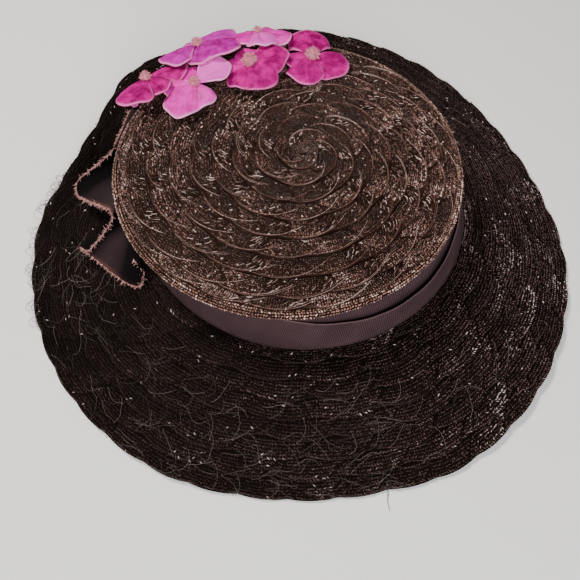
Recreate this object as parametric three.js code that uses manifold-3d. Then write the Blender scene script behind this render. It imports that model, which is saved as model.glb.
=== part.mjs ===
// A wide-brimmed tilt hat of sewn straw braid with a ribbon band, a pleated ribbon end and six
// velvet blossoms.
// Millimetres, +Z up, the lowest rim at z = 0, -Y towards the front of the brim.
import * as THREE from 'three';
import { mergeVertices } from 'three/addons/utils/BufferGeometryUtils.js';
import Module from 'manifold-3d';

const wasm = await Module();
wasm.setup();

// Driving dimensions
const STRAW = 1.8;              // thickness of the sewn braid
const GAP = 0.3;                // clearance between neighbouring pieces
const SEAM_RADIUS = 92;         // crown wall outside, where it meets the brim
const WALL_TOP_RADIUS = 89.6;   // crown wall outside, just under the tip's edge
const TIP_RADIUS = 92;          // the tip's rolled edge, which stands out over the ribbon
const CROWN_HEIGHT = 37.5;      // from the brim's seam up to the tip's edge
const TIP_DOME = 6.3;           // rise of the tip's middle over its edge
const CROWN_LEAN_X = -8.5;      // how far the tip's edge is pushed over to the left
const CROWN_LEAN_Y = -1.9;
const BRIM_DROP = 30;           // deepest droop of the brim, which sets the hat's height over the floor
const SEAM_HEIGHT = BRIM_DROP + STRAW;
const TIP_EDGE_HEIGHT = SEAM_HEIGHT + CROWN_HEIGHT;
const STEP = 0.8;               // how far each row's outer edge stands over the next row

// Heights round the tip's rolled edge
const EDGE_ROLL = 1.2;          // from the edge's height up to the tip's face
const EDGE_TOP = TIP_EDGE_HEIGHT + 0.6;
const EDGE_FOOT = TIP_EDGE_HEIGHT - 1.4;
const WALL_OUTSIDE_TOP = TIP_EDGE_HEIGHT - 2.4;
const WALL_INSIDE_TOP = TIP_EDGE_HEIGHT - 4;

// Braid rows
const TIP_ROWS = 8;
const BUTTON_RADIUS = 8;        // the first coil, in the middle of the tip
const CREST_INSET = 1.6;        // from a row's edge in to its crest, on the tip
const VALLEY_OVERLAP = 0.6;     // how far a row's valley lies outside the edge before it
const UNDERSIDE_SHARES = [0, 0.35, 0.7];  // where the smooth underside has a ring of its own
const TIP_UNDERSIDE_END = 0.93;
const BRIM_ROWS = 8;
const BRIM_SCALLOPS = 40;       // waves of the braid's edge in one turn of the brim
const SCALLOP_DEPTH = 1.8;
const SCALLOP_MEAN = 0.6;       // the share of the wave that lies inside the rim's reach
const SCALLOP_PHASE = Math.PI / 6;
const INNER_SCALLOPS = 0.6;     // inner rows wave less than the rim, by this share
const STEP_RUN = 0.8;           // width of the drop from one row to the next
const SEAM_LEDGE = 6;           // flat ring of the brim under the crown wall
const RIM_LAND = 0.94;          // from here out the outermost row runs level
const DROOP_POWER = 1.08;       // over 1, so that the brim droops more towards its rim
const DIP_POWER = 1.9;          // over 1, so that the dip lies towards the rolled-up rim
const BRIM_COLUMNS = 120;
const CROWN_COLUMNS = 60;

// Ribbons
const RIBBON = 1.0;             // thickness of the grosgrain
const BAND_COLUMNS = 60;
const BAND_FOOT = SEAM_HEIGHT + 0.6;
const BAND_TOP = TIP_EDGE_HEIGHT - 3.2;
const LAP_START = 268;          // azimuths where the outer lap leaves the tip's edge and comes back to it
const LAP_END = 352;
const LAP_DIP = 11;             // how far the outer lap's top edge dips in between
const LAP_POWER = 0.8;          // under 1, so that the dip is broad
const LAP_TOP = BAND_TOP - 1;   // the outer lap's top edge beside the dip
const LAP_BULGE = 0.9;          // how far the outer lap stands off in the middle of the dip
const LAP_SLIT = 0.4;           // depth of the slit between the laps
const INNER_LAP = 0.6;          // the inner lap's share of the ribbon's thickness

// The brim: azimuth in degrees from +X, reach from the crown's axis, drop of the rim under the seam,
// and dip, how much deeper the brim sinks inside a rim that is rolled up
const BRIM = [
  { azimuth: 0, reach: 160, drop: 29, dip: 0 },
  { azimuth: 10, reach: 158, drop: 30, dip: 0 },
  { azimuth: 24, reach: 158, drop: 30, dip: 0 },
  { azimuth: 40, reach: 160, drop: 27, dip: 0 },
  { azimuth: 60, reach: 163, drop: 21, dip: 0 },
  { azimuth: 80, reach: 164, drop: 15, dip: 0 },
  { azimuth: 100, reach: 165, drop: 12, dip: 0 },
  { azimuth: 120, reach: 164, drop: 10, dip: 1 },
  { azimuth: 136, reach: 165, drop: 10, dip: 4 },
  { azimuth: 150, reach: 157, drop: 18, dip: 9 },
  { azimuth: 165, reach: 156, drop: 23, dip: 9 },
  { azimuth: 179, reach: 162, drop: 26, dip: 5 },
  { azimuth: 190, reach: 164, drop: 30, dip: 1 },
  { azimuth: 206, reach: 165, drop: 30, dip: 0 },
  { azimuth: 228, reach: 166, drop: 26, dip: 0 },
  { azimuth: 246, reach: 166, drop: 28, dip: 0 },
  { azimuth: 262, reach: 163, drop: 30, dip: 0 },
  { azimuth: 284, reach: 163, drop: 30, dip: 0 },
  { azimuth: 298, reach: 167, drop: 29, dip: 0 },
  { azimuth: 316, reach: 166, drop: 26, dip: 0 },
  { azimuth: 336, reach: 163, drop: 26, dip: 0 },
];

// The pleated ribbon end: a row for each fold, with the free edge's place and the root's azimuth
// and height on the crown wall
const PLEATS = [
  { x: -98, y: 42, z: 61, root: 152, height: 60 },
  { x: -106, y: 19, z: 54, root: 158, height: 58 },
  { x: -118, y: 17, z: 45, root: 163, height: 55 },
  { x: -134, y: 15, z: 30, root: 168, height: 50 },
  { x: -133, y: 7, z: 26, root: 173, height: 49 },
  { x: -106, y: -19, z: 49, root: 181, height: 55 },
  { x: -105, y: -26, z: 46, root: 186, height: 53 },
  { x: -119, y: -34, z: 31, root: 190, height: 48 },
  { x: -125, y: -30, z: 27, root: 194, height: 45 },
  { x: -99, y: -51, z: 27, root: 199, height: 46 },
  { x: -89, y: -55, z: 28, root: 203, height: 49 },
  { x: -86, y: -51, z: 37, root: 207, height: 52 },
  { x: -91, y: -46, z: 43, root: 205, height: 57 },
];
const PLEAT_ROOT_STANDOFF = 2.2; // from the crown wall to the middle of the ribbon at its root
const PLEAT_STEPS = 3;          // along each fold, from root to free edge
const PLEAT_BELLY = 3;          // how far a fold bulges upwards in between

// The blossoms: the middle's place, radius, the way the face leans and how much, its spin and its petals
const BLOSSOMS = [
  { x: -88, y: 50, z: 77, radius: 21, leanTo: 129, lean: 18, spin: 10, petals: 4 },
  { x: -62, y: 78, z: 77.5, radius: 22, leanTo: 118, lean: 24, spin: 40, petals: 5 },
  { x: -60.5, y: 43.5, z: 76.6, radius: 18.5, leanTo: 200, lean: 4, spin: 20, petals: 4 },
  { x: -22, y: 90, z: 77, radius: 16.5, leanTo: 92, lean: 20, spin: 0, petals: 5 },
  { x: -28, y: 61.5, z: 77.8, radius: 18, leanTo: 250, lean: 3, spin: 60, petals: 4 },
  { x: 6, y: 71, z: 76, radius: 18.5, leanTo: 60, lean: 3, spin: 15, petals: 4 },
];
const PETAL = 1.2;              // thickness of the lined velvet
const PETAL_COLUMNS = 24;
const PETAL_NOTCH = 0.22;       // how deep the notches between petals cut into the radius
const NOTCH_POWER = 1.6;        // over 1, so that the petals are broad and the notches narrow
const PETAL_CUP = 0.9;          // how far a petal's middle sinks under its tip
const CUP_SHARE = 0.6;          // where it sinks, as a share of the petal's length
const PETAL_EDGE_SHARE = 0.96;  // where the underside turns up to the edge
const PETAL_EDGE = 0.7;         // the edge's share of the petal's thickness
const STEM_RADIUS = 1.1;
const STEM_STEPS = 3;
const STEM_INSET = 4;           // a stem stands at least this far inside the tip's edge
const STAMEN_RADIUS = 3.2;
const STAMEN_HEIGHT = 4.2;
const STAMEN_SIDES = 8;

// Outline of the fuzzy knob, in shares of its radius and height
const STAMEN_OUTLINE = [
  { radius: 0, height: 0 },
  { radius: 0.6, height: 0.04 },
  { radius: 1, height: 0.4 },
  { radius: 0.85, height: 0.75 },
  { radius: 0.4, height: 1 },
  { radius: 0, height: 1 },
];

// Materials
const straw = (colour) => new THREE.MeshStandardMaterial({ color: colour, roughness: 0.6, metalness: 0 });
const cloth = (colour) => new THREE.MeshStandardMaterial({ color: colour, roughness: 0.9, metalness: 0 });
const crownStraw = straw(0x4f3a2e);
const brimStraw = straw(0x241a17);
const ribbonBrown = cloth(0x463436);
const stamenPink = cloth(0xe88ab8);
const velvets = [0xd4109a, 0xe04cc0, 0xf070b4, 0xef90c8, 0xdc1894, 0xd8129a].map(cloth);

const radians = THREE.MathUtils.degToRad;
const clamp = THREE.MathUtils.clamp;
const TURN = 2 * Math.PI;
const MERGE_TOLERANCE = 1e-4;

// A column of a table of azimuths, carried smoothly round the full turn
function around(rows, column, azimuth) {
  const at = ((azimuth % 360) + 360) % 360;
  const count = rows.length;
  let upper = rows.findIndex((row) => row.azimuth > at);
  if (upper < 0) upper = count;
  const row = (index) => rows[((index % count) + count) % count];
  const angle = (index) => row(index).azimuth + 360 * Math.floor(index / count);
  const value = (index) => row(index)[column];
  const slope = (index) => (value(index + 1) - value(index - 1)) / (angle(index + 1) - angle(index - 1));
  const width = angle(upper) - angle(upper - 1);
  const t = (at - angle(upper - 1)) / width;
  const leaving = (t ** 3 - 2 * t ** 2 + t) * width * slope(upper - 1);
  const arriving = (t ** 3 - t ** 2) * width * slope(upper);
  const blend = 3 * t ** 2 - 2 * t ** 3;
  return (1 - blend) * value(upper - 1) + leaving + blend * value(upper) + arriving;
}

// A closed body from rings of points: one ring for each column, every ring listing the same corners
function bodyFromRings(rings, poles) {
  const corners = rings[0].length;
  const positions = [];
  const triangles = [];
  const index = (ring, corner) => {
    if (poles && corner === 0) return rings.length * corners;
    if (poles && corner === corners - 1) return rings.length * corners + 1;
    return (ring % rings.length) * corners + (corner % corners);
  };
  rings.forEach((ring) => ring.forEach((point) => positions.push(point.x, point.y, point.z)));
  if (poles) {
    [0, corners - 1].forEach((corner) => {
      const pole = rings[0][corner];
      positions.push(pole.x, pole.y, pole.z);
    });
  }
  const add = (a, b, c) => {
    if (a !== b && b !== c && c !== a) triangles.push(a, b, c);
  };
  for (let ring = 0; ring < rings.length; ring += 1) {
    const last = poles ? corners - 1 : corners;
    for (let corner = 0; corner < last; corner += 1) {
      const a = index(ring, corner);
      const b = index(ring + 1, corner);
      const c = index(ring + 1, corner + 1);
      const d = index(ring, corner + 1);
      add(a, b, c);
      add(a, c, d);
    }
  }
  return indexed(positions, triangles);
}

function indexed(positions, triangles) {
  const geometry = new THREE.BufferGeometry();
  geometry.setAttribute('position', new THREE.Float32BufferAttribute(positions, 3));
  geometry.setIndex(triangles);
  return geometry;
}

function columnsRound(columns, ringAt) {
  return Array.from({ length: columns }, (unused, column) => ringAt((TURN * column) / columns, column));
}

// A point at a radius and height, on an axis that leans by a share of the crown's lean
function onAxis(azimuth, radius, height, leanShare) {
  return new THREE.Vector3(
    CROWN_LEAN_X * leanShare + radius * Math.cos(azimuth),
    CROWN_LEAN_Y * leanShare + radius * Math.sin(azimuth),
    height,
  );
}

// Crown wall: its outside radius and lean by height over the seam
function wallShare(height) {
  return clamp((height - SEAM_HEIGHT) / CROWN_HEIGHT, 0, 1);
}

function wallRadius(height) {
  return THREE.MathUtils.lerp(SEAM_RADIUS, WALL_TOP_RADIUS, wallShare(height));
}

function wallPoint(azimuth, standoff, height) {
  return onAxis(azimuth, wallRadius(height) + standoff, height, wallShare(height));
}

// The tip is a shallow dome whose middle stays on the hat's axis while its edge follows the lean
function tipPoint(azimuth, radius, lift) {
  const share = radius / TIP_RADIUS;
  const dome = EDGE_ROLL + (TIP_DOME - EDGE_ROLL) * (1 - share ** 2);
  return onAxis(azimuth, radius, TIP_EDGE_HEIGHT + dome + lift, share);
}

function crownGeometry() {
  const rowPitch = (TIP_RADIUS - BUTTON_RADIUS) / TIP_ROWS;
  const foot = SEAM_HEIGHT + GAP;
  const rings = columnsRound(CROWN_COLUMNS, (azimuth) => {
    const shares = [...UNDERSIDE_SHARES, TIP_UNDERSIDE_END];
    const ring = shares.map((share) => tipPoint(azimuth, share * TIP_RADIUS, -STRAW));
    ring.push(wallPoint(azimuth, -STRAW, WALL_INSIDE_TOP));
    ring.push(wallPoint(azimuth, -STRAW, foot));
    ring.push(wallPoint(azimuth, 0, foot));
    ring.push(wallPoint(azimuth, 0, WALL_OUTSIDE_TOP));
    ring.push(onAxis(azimuth, TIP_RADIUS, EDGE_FOOT, 1));
    ring.push(onAxis(azimuth, TIP_RADIUS, EDGE_TOP, 1));
    for (let row = TIP_ROWS; row >= 1; row -= 1) {
      const edge = BUTTON_RADIUS + row * rowPitch;
      ring.push(tipPoint(azimuth, edge - CREST_INSET, STEP));
      ring.push(tipPoint(azimuth, edge - rowPitch + VALLEY_OVERLAP, 0));
    }
    ring.push(tipPoint(azimuth, BUTTON_RADIUS - CREST_INSET, STEP));
    ring.push(tipPoint(azimuth, 0, 0));
    return ring;
  });
  return bodyFromRings(rings, true);
}

// Height of the brim's upper face, s running from 0 at the seam to 1 at the rim
function brimHeight(degrees, s) {
  const drop = Math.min(around(BRIM, 'drop', degrees), BRIM_DROP);
  const dip = Math.max(around(BRIM, 'dip', degrees), 0);
  const run = clamp(s / RIM_LAND, 0, 1);
  const hollow = Math.sin(Math.PI * run ** DIP_POWER);
  return SEAM_HEIGHT - drop * run ** DROOP_POWER - dip * hollow;
}

// Each row's edge swells and draws in again from stitch group to stitch group
function scallop(azimuth, row) {
  const phase = (azimuth * BRIM_SCALLOPS) / 2 + (row % 2) * (Math.PI / 2);
  return SCALLOP_DEPTH * (Math.abs(Math.sin(phase + SCALLOP_PHASE)) - SCALLOP_MEAN);
}

function brimPoint(azimuth, s, spread, lift) {
  const degrees = THREE.MathUtils.radToDeg(azimuth);
  const inner = SEAM_RADIUS - STRAW;
  const radius = THREE.MathUtils.lerp(inner, around(BRIM, 'reach', degrees), s);
  return onAxis(azimuth, radius + spread, brimHeight(degrees, s) + lift, 0);
}

function brimGeometry() {
  const rings = columnsRound(BRIM_COLUMNS, (azimuth) => {
    const edge = scallop(azimuth, BRIM_ROWS);
    const ring = [...UNDERSIDE_SHARES, RIM_LAND].map((s) => brimPoint(azimuth, s, 0, -STRAW));
    ring.push(brimPoint(azimuth, 1, edge, -STRAW));
    ring.push(brimPoint(azimuth, 1, edge, 0));
    for (let row = BRIM_ROWS - 1; row >= 1; row -= 1) {
      const s = row / BRIM_ROWS;
      const wave = INNER_SCALLOPS * scallop(azimuth, row);
      ring.push(brimPoint(azimuth, s, wave + STEP_RUN, 0));
      ring.push(brimPoint(azimuth, s, wave, STEP));
    }
    ring.push(brimPoint(azimuth, 0, SEAM_LEDGE, 0));
    ring.push(brimPoint(azimuth, 0, 0, 0));
    return ring;
  });
  return bodyFromRings(rings, false);
}

// The band is one ribbon lapped over itself: at the right front the outer lap's top edge dips
function bandGeometry() {
  const rings = columnsRound(BAND_COLUMNS, (azimuth) => {
    const degrees = THREE.MathUtils.radToDeg(azimuth);
    const along = clamp((degrees - LAP_START) / (LAP_END - LAP_START), 0, 1);
    const lapTop = LAP_TOP - LAP_DIP * Math.sin(Math.PI * along) ** LAP_POWER;
    const inside = GAP;
    const middle = GAP + RIBBON * INNER_LAP;
    const outside = GAP + RIBBON;
    const bulge = outside + LAP_BULGE * Math.sin(Math.PI * along);
    return [
      wallPoint(azimuth, inside, BAND_TOP),
      wallPoint(azimuth, inside, BAND_FOOT),
      wallPoint(azimuth, outside, BAND_FOOT),
      wallPoint(azimuth, bulge, lapTop),
      wallPoint(azimuth, middle, lapTop - LAP_SLIT),
      wallPoint(azimuth, middle, BAND_TOP),
    ];
  });
  return bodyFromRings(rings, false);
}

// A sheet of ribbon with both faces and its edges, from a grid of places along its middle
function ribbonSheet(grid, thickness) {
  const rows = grid.length;
  const columns = grid[0].length;
  const positions = [];
  const triangles = [];
  const at = (i, j) => grid[clamp(i, 0, rows - 1)][clamp(j, 0, columns - 1)];
  const normal = (i, j) => {
    const along = at(i + 1, j).clone().sub(at(i - 1, j));
    const across = at(i, j + 1).clone().sub(at(i, j - 1));
    return along.cross(across).normalize();
  };
  [0.5, -0.5].forEach((side) => {
    for (let i = 0; i < rows; i += 1) {
      for (let j = 0; j < columns; j += 1) {
        const point = at(i, j).clone().addScaledVector(normal(i, j), side * thickness);
        positions.push(point.x, point.y, point.z);
      }
    }
  });
  const index = (side, i, j) => side * rows * columns + i * columns + j;
  const quad = (a, b, c, d) => triangles.push(a, b, c, a, c, d);
  for (let i = 0; i < rows - 1; i += 1) {
    for (let j = 0; j < columns - 1; j += 1) {
      quad(index(0, i, j), index(0, i + 1, j), index(0, i + 1, j + 1), index(0, i, j + 1));
      quad(index(1, i, j), index(1, i, j + 1), index(1, i + 1, j + 1), index(1, i + 1, j));
    }
  }
  const edge = (i, j, i2, j2) => quad(index(0, i, j), index(1, i, j), index(1, i2, j2), index(0, i2, j2));
  for (let i = 0; i < rows - 1; i += 1) {
    edge(i, 0, i + 1, 0);
    edge(i + 1, columns - 1, i, columns - 1);
  }
  for (let j = 0; j < columns - 1; j += 1) {
    edge(0, j + 1, 0, j);
    edge(rows - 1, j, rows - 1, j + 1);
  }
  return indexed(positions, triangles);
}

function bowGeometry() {
  const grid = PLEATS.map((pleat) => {
    const root = wallPoint(radians(pleat.root), PLEAT_ROOT_STANDOFF, pleat.height);
    const edge = new THREE.Vector3(pleat.x, pleat.y, pleat.z);
    return Array.from({ length: PLEAT_STEPS + 1 }, (unused, step) => {
      const t = step / PLEAT_STEPS;
      const place = root.clone().lerp(edge, t);
      place.z += PLEAT_BELLY * Math.sin(Math.PI * t);
      return place;
    });
  });
  return ribbonSheet(grid, RIBBON);
}

// A geometry with its shared points joined, as a closed solid needs
function merged(geometry) {
  const bare = geometry.clone();
  bare.deleteAttribute('normal');
  bare.deleteAttribute('uv');
  return mergeVertices(bare, MERGE_TOLERANCE);
}

function solidOf(geometry) {
  const closed = merged(geometry);
  return new wasm.Manifold(new wasm.Mesh({
    numProp: 3,
    vertProperties: new Float32Array(closed.attributes.position.array),
    triVerts: new Uint32Array(closed.index.array),
  }));
}

function geometryOf(solid) {
  const mesh = solid.getMesh();
  return indexed(Array.from(mesh.vertProperties), Array.from(mesh.triVerts));
}

// A blossom's petals, lying in its own plane with the face up
function petalsGeometry(blossom) {
  const reach = (azimuth) => {
    const lobe = Math.abs(Math.cos((azimuth * blossom.petals) / 2));
    return blossom.radius * (1 - PETAL_NOTCH * (1 - lobe) ** NOTCH_POWER);
  };
  const rings = columnsRound(PETAL_COLUMNS, (azimuth) => {
    const place = (share, height) => new THREE.Vector3(
      share * reach(azimuth) * Math.cos(azimuth),
      share * reach(azimuth) * Math.sin(azimuth),
      height,
    );
    return [
      place(0, -PETAL),
      place(CUP_SHARE, -PETAL_CUP - PETAL),
      place(PETAL_EDGE_SHARE, -PETAL * PETAL_EDGE),
      place(1, 0),
      place(CUP_SHARE, -PETAL_CUP),
      place(0, 0),
    ];
  });
  return bodyFromRings(rings, true);
}

// The leaning plane of a blossom, as a matrix
function blossomMatrix(blossom) {
  const towards = radians(blossom.leanTo);
  const axis = new THREE.Vector3(-Math.sin(towards), Math.cos(towards), 0);
  const turn = new THREE.Quaternion().setFromAxisAngle(axis, radians(blossom.lean));
  const spin = new THREE.Quaternion().setFromAxisAngle(new THREE.Vector3(0, 0, 1), radians(blossom.spin));
  const place = new THREE.Vector3(blossom.x, blossom.y, blossom.z);
  return new THREE.Matrix4().compose(place, turn.multiply(spin), new THREE.Vector3(1, 1, 1));
}

// Where a blossom's wire stem meets the crown: on the tip, or on its edge for a blossom that hangs over
function stemSeat(blossom) {
  const x = blossom.x - CROWN_LEAN_X;
  const y = blossom.y - CROWN_LEAN_Y;
  const azimuth = Math.atan2(y, x);
  const radius = Math.min(Math.hypot(x, y), TIP_RADIUS - STEM_INSET);
  const share = radius / TIP_RADIUS;
  const seat = tipPoint(azimuth, radius, STEP + GAP);
  seat.x += CROWN_LEAN_X * (1 - share);
  seat.y += CROWN_LEAN_Y * (1 - share);
  return seat;
}

function blossomGeometry(blossom) {
  const matrix = blossomMatrix(blossom);
  const petals = petalsGeometry(blossom).applyMatrix4(matrix);
  const top = new THREE.Vector3(0, 0, -PETAL / 2).applyMatrix4(matrix);
  const below = new THREE.Vector3(0, 0, -PETAL * 2).applyMatrix4(matrix);
  const seat = stemSeat(blossom);
  const above = seat.clone().setZ(seat.z + STEM_RADIUS);
  const curve = new THREE.CubicBezierCurve3(top, below, above, seat);
  const section = new THREE.Shape().absarc(0, 0, STEM_RADIUS, 0, TURN, false);
  const route = { steps: STEM_STEPS, extrudePath: curve, curveSegments: STEM_STEPS };
  const stem = new THREE.ExtrudeGeometry(section, route);
  return geometryOf(solidOf(petals).add(solidOf(stem)));
}

// The fuzzy knob stands on the petals' middle
function stamenGeometry(blossom) {
  const points = STAMEN_OUTLINE.map(({ radius, height }) => new THREE.Vector2(
    radius * STAMEN_RADIUS,
    GAP + height * STAMEN_HEIGHT,
  ));
  const knob = new THREE.LatheGeometry(points, STAMEN_SIDES);
  knob.rotateX(Math.PI / 2);
  return merged(knob).applyMatrix4(blossomMatrix(blossom));
}

const hat = new THREE.Group();

function addPiece(name, geometry, material) {
  geometry.computeVertexNormals();
  const mesh = new THREE.Mesh(geometry, material);
  mesh.name = name;
  hat.add(mesh);
}

addPiece('crown', crownGeometry(), crownStraw);
addPiece('brim', brimGeometry(), brimStraw);
addPiece('hat_band', bandGeometry(), ribbonBrown);
addPiece('ribbon_bow', bowGeometry(), ribbonBrown);
BLOSSOMS.forEach((blossom, number) => {
  addPiece(`blossom_${number + 1}`, blossomGeometry(blossom), velvets[number]);
  addPiece(`stamen_${number + 1}`, stamenGeometry(blossom), stamenPink);
});

// The origin is under the middle of the hat's box, on the floor
const box = new THREE.Box3().setFromObject(hat);
const middle = box.getCenter(new THREE.Vector3());
hat.position.set(-middle.x, -middle.y, -box.min.z);

export default hat;
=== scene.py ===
"""A wide-brimmed tilt hat of sewn straw braid, with a ribbon band, a pleated ribbon end and velvet blossoms.

Shapes are worked out in millimetres on the hat's own axis and become metres as each mesh is made.
"""
import math

import bpy
import numpy as np
from mathutils import Matrix, Vector


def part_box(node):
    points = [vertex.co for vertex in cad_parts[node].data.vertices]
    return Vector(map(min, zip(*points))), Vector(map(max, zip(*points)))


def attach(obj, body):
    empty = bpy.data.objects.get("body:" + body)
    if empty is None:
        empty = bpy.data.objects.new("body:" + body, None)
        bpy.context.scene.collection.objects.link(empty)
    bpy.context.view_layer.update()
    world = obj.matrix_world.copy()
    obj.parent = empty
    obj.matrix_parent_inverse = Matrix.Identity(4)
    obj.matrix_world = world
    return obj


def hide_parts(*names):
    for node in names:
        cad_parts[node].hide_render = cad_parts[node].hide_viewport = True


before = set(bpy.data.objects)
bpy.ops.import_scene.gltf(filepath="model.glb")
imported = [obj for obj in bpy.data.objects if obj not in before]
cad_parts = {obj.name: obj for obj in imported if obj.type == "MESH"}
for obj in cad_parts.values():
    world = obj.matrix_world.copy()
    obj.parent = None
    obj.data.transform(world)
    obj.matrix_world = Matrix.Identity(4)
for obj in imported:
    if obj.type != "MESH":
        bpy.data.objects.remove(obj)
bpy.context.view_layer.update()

MM = 0.001
TURN = 2 * math.pi

# The hat's driving sizes, in millimetres, as the solids have them
SEAM_RADIUS = 92
WALL_TOP_RADIUS = 89.6
TIP_RADIUS = 92
CROWN_HEIGHT = 37.5
TIP_DOME = 6.3
CROWN_LEAN = np.array([-8.5, -1.9])
BRIM_DROP = 30
STRAW = 1.8
GAP = 0.3
SEAM_HEIGHT = BRIM_DROP + STRAW
TIP_EDGE_HEIGHT = SEAM_HEIGHT + CROWN_HEIGHT
EDGE_ROLL = 1.2
RIM_LAND = 0.94
BRIM_ROWS = 8
BRIM_INNER = SEAM_RADIUS - STRAW
RIM_SCALLOPS = 40
DROOP_POWER = 1.08
DIP_POWER = 1.9

# The crown's section: how far the tip runs, the middle and turn of its rolled edge, the top of the wall
TIP_REACH = 90
ROLL_RADIUS = 90.2
ROLL_HEIGHT = 68.8
ROLL_TURN = (80, -60)
WALL_TOP_HEIGHT = 66.4
TIP_STEPS = 91
ROLL_STEPS = 15
WALL_STEPS = 30

# Azimuth in degrees from +X, reach from the axis, drop of the rim, dip inside a rim that is rolled up
BRIM = np.array([
    (0, 160, 29, 0), (10, 158, 30, 0), (24, 158, 30, 0), (40, 160, 27, 0), (60, 163, 21, 0),
    (80, 164, 15, 0), (100, 165, 12, 0), (120, 164, 10, 1), (136, 165, 10, 4), (150, 157, 18, 9),
    (165, 156, 23, 9), (179, 162, 26, 5), (190, 164, 30, 1), (206, 165, 30, 0), (228, 166, 26, 0),
    (246, 166, 28, 0), (262, 163, 30, 0), (284, 163, 30, 0), (298, 167, 29, 0), (316, 166, 26, 0),
    (336, 163, 26, 0),
], dtype=float)
AZIMUTH, REACH, DROP, DIP = range(4)

# The ribbon, and the lap that dips and stands off at the right front
RIBBON = 0.5
BAND_FOOT = SEAM_HEIGHT + 0.6
BAND_TOP = TIP_EDGE_HEIGHT - 3.2
LAP_START = 268
LAP_END = 352
LAP_DIP = 11
LAP_STANDOFF = 2.8

# The pleated ribbon end: free edge's x, y, z, then the root's azimuth and height on the crown wall
PLEATS = np.array([
    (-100, 43, 61, 152, 60), (-108, 20, 54, 158, 58), (-118, 17, 45, 163, 55), (-134, 15, 30, 168, 50),
    (-133, 7, 26, 173, 49), (-106, -19, 49, 181, 55), (-105, -26, 46, 186, 53), (-119, -34, 31, 190, 48),
    (-125, -30, 27, 194, 45), (-99, -51, 27, 199, 46), (-89, -55, 28, 203, 49), (-86, -51, 37, 207, 52),
    (-91, -46, 43, 205, 57),
], dtype=float)
PLEAT_ROOT_STANDOFF = 2.2
PLEAT_BELLY = 3

# The axis of the hat in the frame: the wall's foot reaches +X and the leaning tip's edge reaches -X
CROWN_LOW, CROWN_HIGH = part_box("crown")
SHIFT = np.array([
    (CROWN_LOW.x + CROWN_HIGH.x) / 2 / MM - CROWN_LEAN[0] / 2,
    (CROWN_LOW.y + CROWN_HIGH.y) / 2 / MM - CROWN_LEAN[1] / 2,
    0,
])

# The view, measured from the middle of the tip's edge
VIEW_ELEVATION = math.radians(60.73)
VIEW_ROLL = math.radians(0.77)
VIEW_DISTANCE = 346.97
VIEW_ACROSS = 1.05
VIEW_UP = -67.76
LENS = 40.41
SENSOR = 36

# Lights: place, size, power and colour, all turned to one place
LIGHTS = {
    "key": ((-0.5, 0.2, 1.1), 0.26, 14.3, (1, 0.97, 0.93)),
    "fill": ((0.1, -1.1, 0.85), 0.9, 23, (0.97, 0.97, 1)),
}
LIT_PLACE = Vector((0, 0, 0.04))
SKY = (0.9, 0.93, 1, 1)
SKY_STRENGTH = 0.14
FLOOR_SIZE = 6
FLOOR_COLOUR = (0.86, 0.85, 0.82)

# Small steps by which the directions of a surface are measured: radians, millimetres and share of the brim
TURN_NUDGE = 1e-3
CROWN_NUDGE = 1e-2
BRIM_NUDGE = 1e-3


def unit(vectors):
    return vectors / np.maximum(np.linalg.norm(vectors, axis=-1, keepdims=True), 1e-9)


def smooth(low, high, value):
    share = np.clip((value - low) / (high - low), 0, 1)
    return share * share * (3 - 2 * share)


def shares(count):
    """Even shares from 0 to 1 as one row of a grid."""
    return np.linspace(0, 1, count)[None, :]


def curve(t, start, end, start_slope, end_slope):
    """A smooth way from start to end, with its slopes at both."""
    leaving = (2 * t**3 - 3 * t**2 + 1) * start + (t**3 - 2 * t**2 + t) * start_slope
    arriving = (3 * t**2 - 2 * t**3) * end + (t**3 - t**2) * end_slope
    return leaving + arriving


def around(column, azimuth):
    """A column of the brim's table, carried smoothly round the full turn."""
    angle = np.concatenate([BRIM[-2:, AZIMUTH] - 360, BRIM[:, AZIMUTH], BRIM[:3, AZIMUTH] + 360])
    value = np.concatenate([BRIM[-2:, column], BRIM[:, column], BRIM[:3, column]])
    slope = np.zeros_like(value)
    slope[1:-1] = (value[2:] - value[:-2]) / (angle[2:] - angle[:-2])
    degrees = np.degrees(azimuth) % 360
    low = np.searchsorted(angle, degrees, side="right") - 1
    width = angle[low + 1] - angle[low]
    t = (degrees - angle[low]) / width
    return curve(t, value[low], value[low + 1], width * slope[low], width * slope[low + 1])


def on_axis(azimuth, radius, height, lean_share):
    return np.stack([
        CROWN_LEAN[0] * lean_share + radius * np.cos(azimuth),
        CROWN_LEAN[1] * lean_share + radius * np.sin(azimuth),
        height + 0 * azimuth,
    ], axis=-1)


def wall_share(height):
    return np.clip((height - SEAM_HEIGHT) / CROWN_HEIGHT, 0, 1)


def wall_radius(share):
    return SEAM_RADIUS + (WALL_TOP_RADIUS - SEAM_RADIUS) * share


def wall_point(azimuth, standoff, height):
    share = wall_share(height)
    return on_axis(azimuth, wall_radius(share) + standoff, height, share)


def tip_height(radius):
    return TIP_EDGE_HEIGHT + EDGE_ROLL + (TIP_DOME - EDGE_ROLL) * (1 - (radius / TIP_RADIUS) ** 2)


def crown_profile():
    """Radius, height and share of the lean along the crown, by the length of the way from its middle."""
    radius = np.linspace(0, TIP_REACH, TIP_STEPS)
    tip = np.stack([radius, tip_height(radius), radius / TIP_RADIUS], axis=1)
    turn = np.radians(np.linspace(*ROLL_TURN, ROLL_STEPS))
    roll = np.stack([ROLL_RADIUS + STRAW * np.cos(turn), ROLL_HEIGHT + STRAW * np.sin(turn), 1 + 0 * turn], 1)
    height = np.linspace(WALL_TOP_HEIGHT, SEAM_HEIGHT + GAP, WALL_STEPS)
    share = wall_share(height)
    wall = np.stack([wall_radius(share), height, share], axis=1)
    way = np.concatenate([tip, roll, wall])
    return lengths_along(way[:, :2]), way


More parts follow.
